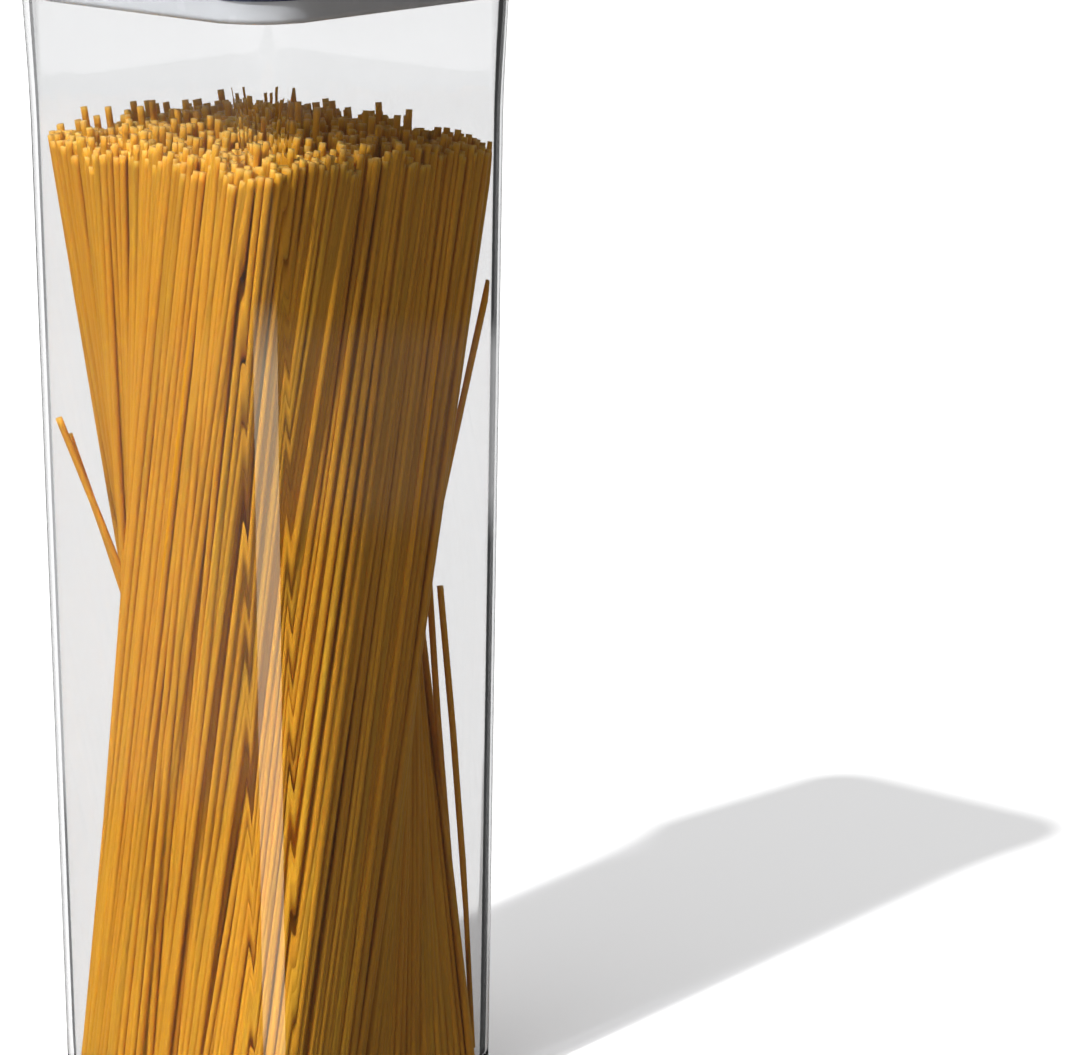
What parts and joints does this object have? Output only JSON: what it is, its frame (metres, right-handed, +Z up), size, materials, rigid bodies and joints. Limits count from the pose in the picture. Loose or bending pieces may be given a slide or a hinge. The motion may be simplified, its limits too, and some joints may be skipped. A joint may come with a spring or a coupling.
{
  "type": "food canister",
  "caption": "Tall square clear food storage canister with a lift-off airtight lid, sealed by a pop-up push button in its centre.",
  "frame": {"origin": "centre of the underside, on the surface that the canister stands on", "axes": "+Z up along the canister's height; the four walls face +X, -X, +Y and -Y"},
  "size_m": [0.1024, 0.1024, 0.32],
  "materials": {
    "clear_plastic": "clear, polished",
    "lid_white": "fine satin, moulded",
    "lid_grey": "semi-gloss, moulded",
    "seal_navy": "soft silicone",
    "latch_plastic": "natural acetal, matt",
    "spring_steel": "drawn stainless wire"
  },
  "bodies": {
    "canister": {"canister_body": "clear_plastic"},
    "lid": {"lid_frame": "lid_white", "lid_base": "lid_grey", "seal_gasket": "seal_navy", "latch_sleeve": "latch_plastic", "button_spring": "spring_steel"},
    "button": {"push_button": "lid_white", "button_barrel": "lid_white", "latch_plunger": "latch_plastic"},
    "rotor": {"latch_rotor": "latch_plastic"},
    "pusher_px": {"pusher_px": "latch_plastic"},
    "pusher_py": {"pusher_py": "latch_plastic"},
    "pusher_nx": {"pusher_nx": "latch_plastic"},
    "pusher_ny": {"pusher_ny": "latch_plastic"}
  },
  "joints": [
    {"name": "lid_lift", "type": "slide", "parent": "canister", "child": "lid", "axis": [0, 0, 1], "range_m": [0, 0.045]},
    {"name": "button_rise", "type": "slide", "parent": "lid", "child": "button", "axis": [0, 0, 1], "range_m": [0, 0.012], "deforming": ["button_spring"]},
    {"name": "rotor_turn", "type": "hinge", "parent": "button", "child": "rotor", "pos_m": [0, 0, 0.3023], "axis": [0, 0, 1], "range_deg": [0, 45]},
    {"name": "pusher_px_slide", "type": "slide", "parent": "lid", "child": "pusher_px", "axis": [-1, 0, 0], "range_m": [0, 0.0015]},
    {"name": "pusher_py_slide", "type": "slide", "parent": "lid", "child": "pusher_py", "axis": [0, -1, 0], "range_m": [0, 0.0015]},
    {"name": "pusher_nx_slide", "type": "slide", "parent": "lid", "child": "pusher_nx", "axis": [1, 0, 0], "range_m": [0, 0.0015]},
    {"name": "pusher_ny_slide", "type": "slide", "parent": "lid", "child": "pusher_ny", "axis": [0, 1, 0], "range_m": [0, 0.0015]}
  ],
  "couplings": [
    {"joint": "rotor_turn", "follows": "button_rise", "rad_per_m": 65.4},
    {"joint": "pusher_px_slide", "follows": "button_rise", "ratio": 0.125},
    {"joint": "pusher_py_slide", "follows": "button_rise", "ratio": 0.125},
    {"joint": "pusher_nx_slide", "follows": "button_rise", "ratio": 0.125},
    {"joint": "pusher_ny_slide", "follows": "button_rise", "ratio": 0.125}
  ]
}
